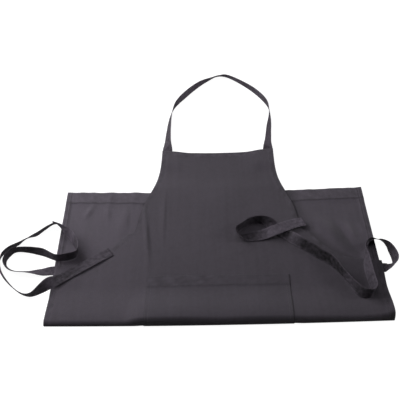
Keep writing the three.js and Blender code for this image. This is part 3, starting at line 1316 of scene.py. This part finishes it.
    def seams_and_shade(self, grid: PanelGrid) -> Grid:
        """Work out where the cloth is darker: along its sewn lines, partly their own tone and partly painted
        shade, with a painted shadow under the armhole edges and the painted shade of the under layer.

        Args:
            grid: The panel's grid.

        Returns:
            The seam mark at each point.
        """
        cut = self.drape
        shown = np.where(grid.under, 1.0, self.face_seam)
        skirt_line = grid.low - cut.skirt_hem + self.stitch_inset
        lines = [
            ridge(grid.side - cut.side_hem + self.stitch_inset, self.seam_reach) * shown,
            self.side_line_seam * ridge(grid.side - self.side_line, self.seam_reach) * shown,
            ridge(skirt_line, self.skirt_seam_reach),
            self.top_seam * ridge(grid.high - cut.bib_hem + self.stitch_inset, self.seam_reach),
            self.top_seam * ridge(grid.high - self.top_line, self.seam_reach),
            # Painted shadow under the armhole edges, where the top layer lies over the under layer.
            plateau(grid.side, self.armhole_shadow_reach) * self.covered(grid),
            self.shaded(grid) * grid.under,
        ]
        return np.max(lines, axis=0)

    def build(self, shift: Vector) -> bpy.types.Object:
        """Make the panel's mesh, with rounded rims and hems that stand up on the wrong side.

        Args:
            shift: The move from the apron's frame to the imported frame, in metres.

        Returns:
            The panel.
        """
        cut = self.drape
        grid = self.grid()
        normals = ways_out(grid.face)
        wall = cut.wall + (cut.hem_wall - cut.wall) * self.hems(grid)
        middle = grid.face - normals * wall[..., None] / 2
        half = normals * (wall * round_rim(grid.edge, self.rim_lines[-1]) / 2)[..., None]
        uv = np.stack([grid.face[..., 0], grid.low], -1)
        cloth = ClothMesh(self.name, middle + half, middle - half, uv, self.worn_and_lit(grid), self.seams_and_shade(grid))
        return cloth.build(shift)

    def trace(self, rows: list[Row], marks: Grid, side: Side) -> tuple[Grid, Grid]:
        """Follow one mark on each row over a face of the cloth.

        Args:
            rows: The rows to follow.
            marks: One mark for each row.
            side: The face of the cloth that the line lies on.

        Returns:
            The line's points and the way out of the cloth there.
        """
        steps = {Layer.UNDER: -self.probe, Layer.ROLL: 2.0 * self.probe, Layer.TOP: self.probe}
        wall = 0.0 if side is Side.FACE else self.drape.hem_wall
        points = []
        ways = []
        for row, mark in zip(rows, marks):
            place = np.array([mark - self.probe, mark, mark + self.probe])
            across = self.line(row, place)
            ahead = self.line(Row(row.layer, row.place + steps[row.layer], 0.0), place)
            way = unit(np.cross(across[2] - across[0], ahead[1] - across[1]))
            points.append(across[1] - way * wall)
            ways.append(way * side.value)
        return np.array(points), np.array(ways)

    def stitch(self, shift: Vector) -> bpy.types.Object:
        """Sew the hems: the skirt's and sides' on what shows of the wrong side, the rest on the face.

        Args:
            shift: The move from the apron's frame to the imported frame, in metres.

        Returns:
            The stitches.
        """
        cut = self.drape
        seam = Seam("Panel_Stitches")
        rows = self.rows()
        short = self.stitch_inset / 2
        under = [row for row in rows if row.layer is Layer.UNDER]
        face = [row for row in rows if row.layer is Layer.ROLL and row.place > 0.0]
        face += [row for row in rows if row.layer is Layer.TOP and row.place < cut.top_length - short]
        sides = cut.half_skirt - cut.side_hem + self.stitch_inset
        for sign in (-1.0, 1.0):
            seam.sew(*self.trace(under, np.full(len(under), sign * sides), Side.BACK))
            seam.sew(*self.trace(face, np.full(len(face), sign * sides), Side.FACE))
        end = cut.half_skirt - self.stitch_inset
        across = np.linspace(-end, end, self.stitch_points)
        hem_line = Row(Layer.UNDER, cut.under_length - cut.skirt_hem + self.stitch_inset, 0.0)
        seam.sew(*self.trace([hem_line] * len(across), across, Side.BACK))
        for depth in (self.top_line, cut.bib_hem - short):
            bib_line = Row(Layer.TOP, cut.top_length - depth, 0.0)
            seam.sew(*self.trace([bib_line] * len(across), across, Side.FACE))
        return seam.build(shift)

    def flat(self) -> tuple[float, float]:
        """Give the width and length to which the panel was cut, in millimetres."""
        return self.drape.skirt_width, self.rows()[-1].along

    def area(self) -> float:
        """Give the panel's flat area without the armholes, in square metres."""
        width, length = self.flat()
        return (width * length - self.drape.cut_away()) * MM * MM


@dataclass
class Pocket(SewnPiece):
    """The patch pocket on the face of the panel, which the fold runs through."""

    panel: Panel
    name: str = "Pocket"
    node: str = "pocket"
    slot: Slot = Slot.POCKET
    held: Held = Held.FOLDED
    hem: float = 28.0
    wall: float = 0.7
    hem_wall: float = 1.0
    rim_lines: tuple[float, ...] = (0.0, 0.3, 0.6)
    side_line: float = 4.0
    inner_clear: float = 7.0
    inner_lines: int = 30
    row_clear: float = 1.5
    puff: float = 0.3
    puff_ease: float = 60.0
    rim_reach: float = 3.0
    # Painted highlight on the left rim and painted shadow on the right rim, as if lit from the left; the
    # highlight also stands for wear.
    rim_wear_and_highlight: Halves = Halves(0.8, 0.2)
    rim_shadow: Halves = Halves(0.2, 0.9)
    # Painted light and shade in patches along the pocket's hem, less on the right half.
    pocket_pucker_shading: Halves = Halves(0.9, 0.4)
    pleat_waves: WaveRow = WaveRow(12.0, 45.0, 42)
    hem_seam: float = 0.35
    mouth_reach: float = 1.6
    side_stitches: tuple[float, ...] = (2.5, 8.5)
    stitch_from: float = 20.0
    stitch_points: int = 121

    @property
    def half(self) -> float:
        """Half the width of the pocket."""
        return self.panel.drape.pocket_width / 2

    def marks(self) -> Grid:
        """List the lines along the pocket.

        Returns:
            Their places across, from left to right.
        """
        edge = [self.half - step for step in (*self.rim_lines, self.side_line)]
        lines = np.linspace(0.0, self.half - self.inner_clear, self.inner_lines)
        return mirrored(np.unique(np.r_[lines, edge]))

    def rows(self) -> list[Row]:
        """List the lines across the pocket: those of the panel, with lines of its own at its two ends.

        Returns:
            The lines from the pocket's lower edge round the fold to its mouth.
        """
        cut = self.panel.drape
        limits = {Layer.UNDER: cut.pocket_under, Layer.TOP: cut.pocket_top - self.row_clear}
        rows = [row for row in self.panel.rows() if row.place < limits.get(row.layer, math.inf)]
        first, last = rows[0], rows[-1]
        rows.insert(0, Row(Layer.UNDER, cut.pocket_under, first.along - (cut.pocket_under - first.place)))
        mouth = [cut.pocket_top - self.hem - step for step in self.panel.hem_steps]
        mouth += [cut.pocket_top - step for step in self.rim_lines]
        clear = [min(abs(row.place - y) for y in mouth) > self.row_clear for row in rows]
        rows = [row for row, free in zip(rows, clear) if row.layer is not Layer.TOP or free]
        rows += [Row(Layer.TOP, y, last.along + y - last.place) for y in mouth]
        return sorted(rows, key=lambda row: row.along)

    def _puff(self, rows: list[Row], marks: Grid) -> Grid:
        """Work out how far the pocket's mouth stands off the panel between its sewn sides.

        Args:
            rows: Lines across the pocket.
            marks: Places across.

        Returns:
            The height at each point.
        """
        side = smooth(self.half - np.abs(marks), 0.0, self.puff_ease)
        along = np.array([row.place if row.layer is Layer.TOP else 0.0 for row in rows])
        climb = smooth(along, self.puff_ease, self.panel.drape.pocket_top)
        return self.puff * climb[:, None] * side[None]

    def build(self, shift: Vector) -> bpy.types.Object:
        """Make the pocket's mesh, thicker along the hem of its mouth.

        Args:
            shift: The move from the apron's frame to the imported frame, in metres.

        Returns:
            The pocket.
        """
        rows, marks = self.rows(), self.marks()
        face = np.stack([self.panel.line(row, marks) for row in rows])
        normals = ways_out(face)
        lengths = np.array([row.along for row in rows])[:, None] + np.zeros(face.shape[:2])
        from_top = lengths.max() - lengths
        side = self.half - np.abs(marks)[None] + np.zeros_like(lengths)
        hem = plateau(from_top - self.hem, self.panel.hem_slope)
        wall = self.wall + (self.hem_wall - self.wall) * hem
        edge = np.minimum(np.minimum(side, from_top), lengths - lengths.min())
        rise = self.panel.drape.gap + self._puff(rows, marks) + wall / 2
        middle = face + normals * rise[..., None]
        half = normals * (wall * round_rim(edge, self.rim_lines[-1]) / 2)[..., None]
        uv = np.stack([face[..., 0], lengths], -1)
        # Painted highlight on the left rim and painted shadow on the right rim.
        rim = plateau(side, self.rim_reach)
        # Painted light and shade: paler and darker patches along the hem, as on puckers.
        pocket_pucker_shading = self.panel.hem_pucker_shading * hem * rumple(face[..., 0], lengths, self.pleat_waves)
        wear_and_painted_light = self.rim_wear_and_highlight.at(marks) * rim + self.pocket_pucker_shading.at(marks) * pocket_pucker_shading
        lines = [
            self.rim_shadow.at(marks) * rim,
            self.hem_seam * ridge(from_top - self.hem + self.panel.stitch_inset, self.panel.seam_reach),
            self.hem_seam * plateau(from_top, self.mouth_reach),
        ]
        cloth = ClothMesh(self.name, middle + half, middle - half, uv, wear_and_painted_light, np.max(lines, axis=0))
        return cloth.build(shift)

    def stitch(self, shift: Vector) -> bpy.types.Object:
        """Sew the pocket's sides and the hem of its mouth.

        Args:
            shift: The move from the apron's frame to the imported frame, in metres.

        Returns:
            The stitches.
        """
        cut = self.panel.drape
        inset = self.panel.stitch_inset
        seam = Seam("Pocket_Stitches")
        starts = {Layer.ROLL: self.stitch_from, Layer.TOP: 0.0}
        rows = [row for row in self.rows() if row.place > starts.get(row.layer, math.inf)]
        for sign in (-1.0, 1.0):
            for depth in self.side_stitches:
                marks = np.full(len(rows), sign * (self.half - depth))
                line, ways = self.panel.trace(rows, marks, Side.FACE)
                seam.sew(line + ways * (cut.gap + self.wall), ways)
        across = np.linspace(-self.half + inset, self.half - inset, self.stitch_points)
        hem_line = Row(Layer.TOP, cut.pocket_top - self.hem + inset, 0.0)
        line, ways = self.panel.trace([hem_line] * len(across), across, Side.FACE)
        rise = cut.gap + self.hem_wall + self._puff([hem_line], across)[0]
        seam.sew(line + ways * rise[:, None], ways)
        return seam.build(shift)

    def flat(self) -> tuple[float, float]:
        """Give the width and length to which the pocket was cut, in millimetres."""
        rows = self.rows()
        return self.panel.drape.pocket_width, rows[-1].along - rows[0].along


@dataclass
class Strap(SewnPiece):
    """A flat tape swept along its route, standing on its lower edge where it leans."""

    name: str
    node: str
    route: tuple[RouteRow, ...]
    painted_light: tuple[PaintedLightRow, ...]
    seed: int
    slot: Slot = Slot.STRAP
    held: Held = Held.LAID
    width: float = 25.0
    wall: float = 1.6
    tape: float = 1.0
    steps: int = 10
    cup: float = 0.35
    ripple: float = 0.2
    ripple_shortest: float = 18.0
    ripple_longest: float = 90.0
    painted_light_ease: float = 0.7
    rim_from: float = 0.86
    rim_flat: float = 0.5
    standing_rim_highlight: float = 1.4
    seam_share: float = 0.82
    seam_reach: float = 0.14
    stitch_inset: float = 2.2
    stitch_width: float = 0.5
    stitch_height: float = 0.35
    stitch_sink: float = 0.49
    half_section: tuple[TapeRow, ...] = (
        TapeRow(1.0, 0.3),
        TapeRow(0.985, 0.72),
        TapeRow(0.94, 1.0),
        TapeRow(0.66, 0.92),
        TapeRow(0.33, 0.9),
        TapeRow(0.0, 0.9),
    )

    def sections(self) -> tuple[Grid, Grid, Grid]:
        """Place the strap along its route.

        Returns:
            Its middle, the way across it and the way out of it.
        """
        curve = curve_through(np.array(self.route, float), self.steps)
        lean = np.radians(curve[:, 3])
        rise = self.width / 2 * np.abs(np.sin(lean)) + self.wall / 2 * np.abs(np.cos(lean))
        middle = np.column_stack([curve[:, :2], np.maximum(curve[:, 2], 0.0) + rise])
        run = unit(np.gradient(middle, axis=0))
        level = unit(np.column_stack([-run[:, 1], run[:, 0], np.zeros(len(run))]))
        across = np.cos(lean)[:, None] * level + np.sin(lean)[:, None] * np.cross(run, level)
        return middle, across, np.cross(run, across)

    def painted_tone(self, count: int) -> Grid:
        """Work out the light painted on the tape along its route, and the shade where the amount is below 0.

        Args:
            count: How many sections it has.

        Returns:
            The painted light of each section.
        """
        points = np.arange(count) / self.steps
        total = np.zeros(count)
        for row in self.painted_light:
            past = np.abs(points - (row.first + row.last) / 2) - (row.last - row.first) / 2
            total = total + row.amount * plateau(past, self.painted_light_ease)
        return total

    def build(self, shift: Vector) -> bpy.types.Object:
        """Make the strap's mesh, with rounded selvedges and a slight cup across its width.

        Args:
            shift: The move from the apron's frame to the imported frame, in metres.

        Returns:
            The strap.
        """
        middle, across, out = self.sections()
        lengths = lengths_along(middle)
        right, girth = np.array(self.half_section).T
        shares = np.r_[right, -right[-2::-1]]
        girth = np.r_[girth, girth[-2::-1]]
        waves = WaveRow(self.ripple_shortest, self.ripple_longest, self.seed)
        ripple = rumple(lengths, np.zeros_like(lengths), waves)[:, None] * np.abs(shares)[None] ** 3
        bow = self.cup * (shares**2 - 0.5)[None] + self.ripple * ripple
        places = shares * self.width / 2
        line = middle[:, None] + across[:, None] * places[None, :, None] + out[:, None] * bow[..., None]
        half = out[:, None] * (girth * self.tape / 2)[None, :, None]
        uv = np.stack(np.broadcast_arrays(places[None], lengths[:, None]), -1)
        # Painted highlight: the rims are palest where the tape stands on edge, as if they caught the light;
        # lying flat they are paler only by wear.
        rim_highlight = self.rim_flat + self.standing_rim_highlight * np.abs(across[:, 2:])
        # Painted light and shade along the route are added to the rims' paleness.
        wear_and_painted_light = smooth(np.abs(shares), self.rim_from, 1.0)[None] * rim_highlight + self.painted_tone(len(middle))[:, None]
        seam = np.broadcast_to(ridge(np.abs(shares) - self.seam_share, self.seam_reach)[None], ripple.shape)
        return ClothMesh(self.name, line + half, line - half, uv, wear_and_painted_light, seam).build(shift)

    def stitch(self, shift: Vector) -> bpy.types.Object:
        """Sew the tape's two edges, on both of its faces.

        Args:
            shift: The move from the apron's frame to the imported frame, in metres.

        Returns:
            The stitches.
        """
        middle, across, out = self.sections()
        seam = Seam(f"{self.name}_Stitches", width=self.stitch_width, height=self.stitch_height)
        for side in (-1.0, 1.0):
            for edge in (-1.0, 1.0):
                line = middle + across * edge * (self.width / 2 - self.stitch_inset)
                seam.sew(line + out * side * self.tape * self.stitch_sink, out * side)
        return seam.build(shift)

    def flat(self) -> tuple[float, float]:
        """Give the tape's width and its length along its middle, in millimetres."""
        return self.width, float(steps_between(self.sections()[0]).sum())


NECK_ROUTE = (
    RouteRow(-115, 488, 0, 0),
    RouteRow(-115, 526, 0, -2),
    RouteRow(-115, 556, 0, -44),
    RouteRow(-113, 616, 0, -61),
    RouteRow(-108, 672, 0, -71),
    RouteRow(-97, 714, 0, -81),
    RouteRow(-72, 757, 0, -88),
    RouteRow(-37, 802, 0, -79),
    RouteRow(-2, 833, 0, -55),
    RouteRow(24, 851, 0, -43),
    RouteRow(53, 842, 0, -58),
    RouteRow(94, 803, 0, -70),
    RouteRow(130, 756, 0, -81),
    RouteRow(152, 707, 0, -82),
    RouteRow(154, 655, 0, -75),
    RouteRow(147, 602, 0, -59),
    RouteRow(142, 556, 0, -46),
    RouteRow(139, 526, 0, -3),
    RouteRow(138, 488, 0, 0),
)

LEFT_ROUTE = (
    RouteRow(-314, 139, 2.1, 0),
    RouteRow(-352, 139.5, 2.1, 0.5),
    RouteRow(-374, 135, 0.6, 14),
    RouteRow(-404, 133, 0, 44),
    RouteRow(-437, 136, 0, 53),
    RouteRow(-454, 151, 0, 74),
    RouteRow(-457, 169, 0, 91),
    RouteRow(-450, 185, 0, 97),
    RouteRow(-438, 194, 0, 106),
    RouteRow(-412, 193, 0, 98),
    RouteRow(-378, 185, 0, 86),
    RouteRow(-346, 167, 2.4, 95),
    RouteRow(-320, 169, 2.4, 92),
    RouteRow(-304, 177, 2.4, 97),
    RouteRow(-305, 197, 2.4, 106),
    RouteRow(-313, 217, 2.4, 112),
    RouteRow(-326, 237, 2.4, 110),
    RouteRow(-341, 250, 2.8, 98),
    RouteRow(-356, 266, 2, 68),
    RouteRow(-366, 273, 0.4, 55),
    RouteRow(-382, 259, 0, 62),
    RouteRow(-400, 240, 0, 65),
    RouteRow(-420, 230, 0, 50),
    RouteRow(-434, 214, 0, 62),
    RouteRow(-456, 197, 0, 68),
    RouteRow(-468, 176, 0, 71),
    RouteRow(-466, 148, 0, 76),
    RouteRow(-449, 115, 0, 94),
    RouteRow(-416, 79, 0, 110),
    RouteRow(-390, 68, 0, 112),
    RouteRow(-370, 81, 0.4, 82),
    RouteRow(-352, 96, 5.2, 46),
    RouteRow(-332, 112, 7.4, 6),
    RouteRow(-280, 153, 5.8, -2),
    RouteRow(-231, 190, 4.6, 0),
)

RIGHT_ROUTE = (
    RouteRow(314, 133, 2.1, 0),
    RouteRow(340, 133, 2.1, 0),
    RouteRow(357, 132, 2.1, -2),
    RouteRow(367, 133, 0.5, -36),
    RouteRow(380, 142, 0, -64),
    RouteRow(382, 158, 0, -67),
    RouteRow(377, 180, 0, -80),
    RouteRow(370, 195, 0, -106),
    RouteRow(359, 206, 1.2, -130),
    RouteRow(346, 206, 2.6, -132),
    RouteRow(331, 197, 2.6, -96),
    RouteRow(321, 172, 5.7, -82),
    RouteRow(318, 144, 7.4, -112),
    RouteRow(318, 117, 7.4, -122),
    RouteRow(320, 90, 5.4, -118),
    RouteRow(321, 64, 8.4, -108),
    RouteRow(314, 50, 10.2, -92),
    RouteRow(302, 49, 10.6, -78),
    RouteRow(290, 57, 9.2, -72),
    RouteRow(279, 77, 6, -80),
    RouteRow(263, 110, 4.8, -87),
    RouteRow(243, 146, 4.6, -68),
    RouteRow(216, 170, 4.6, -56),
    RouteRow(186, 197, 5.2, -54),
    RouteRow(170, 213, 5.6, -38),
    RouteRow(156, 229, 5.6, -12),
    RouteRow(134, 250, 5.6, -14),
    RouteRow(118, 261, 5, -60),
    RouteRow(100, 268, 4.6, -84),
    RouteRow(78, 264, 4.6, -90),
    RouteRow(60, 251, 4.6, -92),
    RouteRow(46, 236, 4.6, -80),
    RouteRow(55, 224, 4.6, -36),
    RouteRow(78, 225, 4.6, 8),
    RouteRow(104, 228, 6, 14),
    RouteRow(130, 234, 13.6, 12),
    RouteRow(153, 245, 14.2, 10),
    RouteRow(177, 258, 11, 6),
    RouteRow(200, 267, 8, 3),
)

# Painted light on the straps: paler stretches where light falls, darker ones below 0 where shade falls.
NECK_PAINTED_LIGHT = (
    PaintedLightRow(2.6, 4.0, -0.3),
    PaintedLightRow(5.4, 8.2, 5.2),
    PaintedLightRow(9.3, 10.4, 4.0),
    PaintedLightRow(11.1, 12.2, 1.4),
    PaintedLightRow(13.6, 16.2, 3.8),
)

LEFT_PAINTED_LIGHT = (
    PaintedLightRow(9.8, 11.3, 2.0),
    PaintedLightRow(15.6, 17.5, 2.0),
    PaintedLightRow(30.9, 31.2, 1.4),
    PaintedLightRow(31.8, 32.3, -0.8),
)

RIGHT_PAINTED_LIGHT = (
    PaintedLightRow(5.9, 7.2, -0.8),
    PaintedLightRow(11.4, 13.2, 0.4),
    PaintedLightRow(17.6, 18.4, -0.7),
    PaintedLightRow(20.2, 22.8, -1.2),
    PaintedLightRow(24.7, 25.1, -0.9),
    PaintedLightRow(25.7, 26.3, 0.9),
    PaintedLightRow(32.4, 33.3, -0.8),
    PaintedLightRow(34.7, 38.5, 1.3),
)

COTTON = ClothFinish("Charcoal_Twill", (0.0575, 0.049, 0.063))
POCKET_COTTON = ClothFinish("Charcoal_Pocket_Twill", (0.055, 0.047, 0.061), slant=48.0)
TAPE = ClothFinish(
    "Charcoal_Tape",
    (0.064, 0.0547, 0.0695),
    pitch=0.8,
    slant=38.0,
    wrong_side=1.0,
    wear_and_painted_light=0.5,
    seam=0.2,
    mottle=0.8,
    crumple=1.0,
    sheen=0.0,
)
THREAD = ThreadFinish("Charcoal_Thread", (0.058, 0.0505, 0.0615))


@dataclass
class Studio:
    """The floor, the soft light and the camera."""

    shift: Vector
    floor_size: float = 80.0
    floor_gap: float = 0.3
    backdrop_height: float = 12.0
    frame_px: float = 400.0
    focal_px: float = 705.6
    sensor_width: float = 36.0
    camera_place: tuple[float, float, float] = (-26.17, -843.23, 1157.92)
    pitch: float = 44.08
    yaw: float = -0.396
    roll: float = -1.3245
    lamps: tuple[LampRow, ...] = (
        LampRow("Left", -1000.0, 450.0, 700.0, 0.8, 7.6),
        LampRow("Back_Left", -900.0, 1300.0, 800.0, 0.6, 11.5),
        LampRow("Right", 1540.0, 200.0, 720.0, 0.5, 4.8),
        LampRow("Top", 0.0, 300.0, 1700.0, 0.8, 5.4),
    )
    lamp_target: tuple[float, float, float] = (0.0, 250.0, 0.0)
    sky_front: float = 0.01
    sky_back: float = 0.04
    sky_edge: float = 0.04

    def place(self, point: tuple[float, float, float]) -> Vector:
        """Move a point from the apron's frame, in millimetres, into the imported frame."""
        return Vector(point) * MM + self.shift

    def camera(self) -> None:
        """Make the camera from its pitch, yaw and roll."""
        pitch, yaw, roll = (math.radians(angle) for angle in (self.pitch, self.yaw, self.roll))
        ahead = Vector((math.sin(yaw) * math.cos(pitch), math.cos(yaw) * math.cos(pitch), -math.sin(pitch)))
        level = Vector((math.cos(yaw), -math.sin(yaw), 0.0))
        above = level.cross(ahead)
        right = math.cos(roll) * level + math.sin(roll) * above
        up = -math.sin(roll) * level + math.cos(roll) * above
        data = bpy.data.cameras.new("Camera")
        data.sensor_width = self.sensor_width
        data.lens = self.focal_px / self.frame_px * self.sensor_width
        camera = add_object("Camera", data)
        turn = Matrix((right, up, -ahead)).transposed().to_4x4()
        camera.matrix_world = Matrix.Translation(self.place(self.camera_place)) @ turn
        bpy.context.scene.camera = camera

    def floor(self) -> None:
        """Lay the floor just under the apron, with a far backdrop, and keep its light off the cloth."""
        half = self.floor_size / 2
        corners = [(-half, -half), (half, -half), (half, half), (-half, half)]
        points = [(x, y, z) for z in (0.0, self.backdrop_height) for x, y in corners]
        walls = [(k, (k + 1) % 4, (k + 1) % 4 + 4, k + 4) for k in range(4)]
        mesh = bpy.data.meshes.new("Floor")
        mesh.from_pydata(points, [], [(0, 1, 2, 3), *walls])
        floor = add_object("Floor", mesh)
        floor.location.z = -self.floor_gap * MM
        floor.visible_diffuse = False
        floor.data.materials.append(FloorFinish().build())

    def sky(self) -> None:
        """Make a dim sky, paler at the back and dark below the floor."""
        world = bpy.data.worlds.new("Sky")
        world.use_nodes = True
        board = NodeBoard(world.node_tree)
        direction = board.add("ShaderNodeTexCoord").outputs["Generated"]
        parts = board.add("ShaderNodeSeparateXYZ", {"Vector": direction}).outputs
        rise = {"Value": parts["Z"], "From Min": -self.sky_edge, "From Max": self.sky_edge}
        depth = {"Value": parts["Y"], "From Min": -1.0, "To Min": self.sky_front, "To Max": self.sky_back}
        above, behind = (board.add("ShaderNodeMapRange", values) for values in (rise, depth))
        strength = board.math("MULTIPLY", above.outputs["Result"], behind.outputs["Result"])
        background = board.add("ShaderNodeBackground", {"Strength": strength})
        board.add("ShaderNodeOutputWorld", {"Surface": background.outputs["Background"]})
        bpy.context.scene.world = world

    def lights(self) -> None:
        """Hang a few wide soft lamps round the apron."""
        for row in self.lamps:
            data = bpy.data.lights.new(row.name, "AREA")
            data.shape = "DISK"
            data.size = row.size
            data.energy = row.power
            lamp = add_object(row.name, data)
            lamp.location = self.place((row.x, row.y, row.z))
            aim = self.place(self.lamp_target) - lamp.location
            lamp.rotation_euler = aim.to_track_quat("-Z", "Y").to_euler()

    def build(self) -> None:
        """Set up the studio with plain colour management."""
        bpy.context.scene.view_settings.view_transform = "Standard"
        self.camera()
        self.floor()
        self.sky()
        self.lights()


def write_sizes() -> None:
    """Bring the view layer up to date.
    """
    bpy.context.view_layer.update()


def main() -> None:
    """Build the studio, the panel, the pocket and the straps in order."""
    logging.basicConfig(level=logging.INFO, format="%(name)s: %(message)s")
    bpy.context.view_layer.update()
    drape = Drape()
    panel = Panel(drape)
    low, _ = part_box(panel.node)
    shift = low - Vector((-drape.half_skirt, -drape.fold_reach, 0.0)) * MM
    Studio(shift).build()
    finishes = (COTTON, POCKET_COTTON, TAPE, THREAD)
    cotton, pocket_cotton, tape, thread = (finish.build() for finish in finishes)
    panel_piece = panel.make(shift, cotton, thread)
    Pocket(panel).make(shift, pocket_cotton, thread, [panel_piece])
    straps = (
        Strap("Neck_Strap", "neck_strap", NECK_ROUTE, NECK_PAINTED_LIGHT, seed=21),
        Strap("Tie_Left", "tie_left", LEFT_ROUTE, LEFT_PAINTED_LIGHT, seed=22),
        Strap("Tie_Right", "tie_right", RIGHT_ROUTE, RIGHT_PAINTED_LIGHT, seed=23),
    )
    for strap in straps:
        strap.make(shift, tape, thread, [panel_piece])
    write_sizes()


if __name__ == "__main__":
    main()
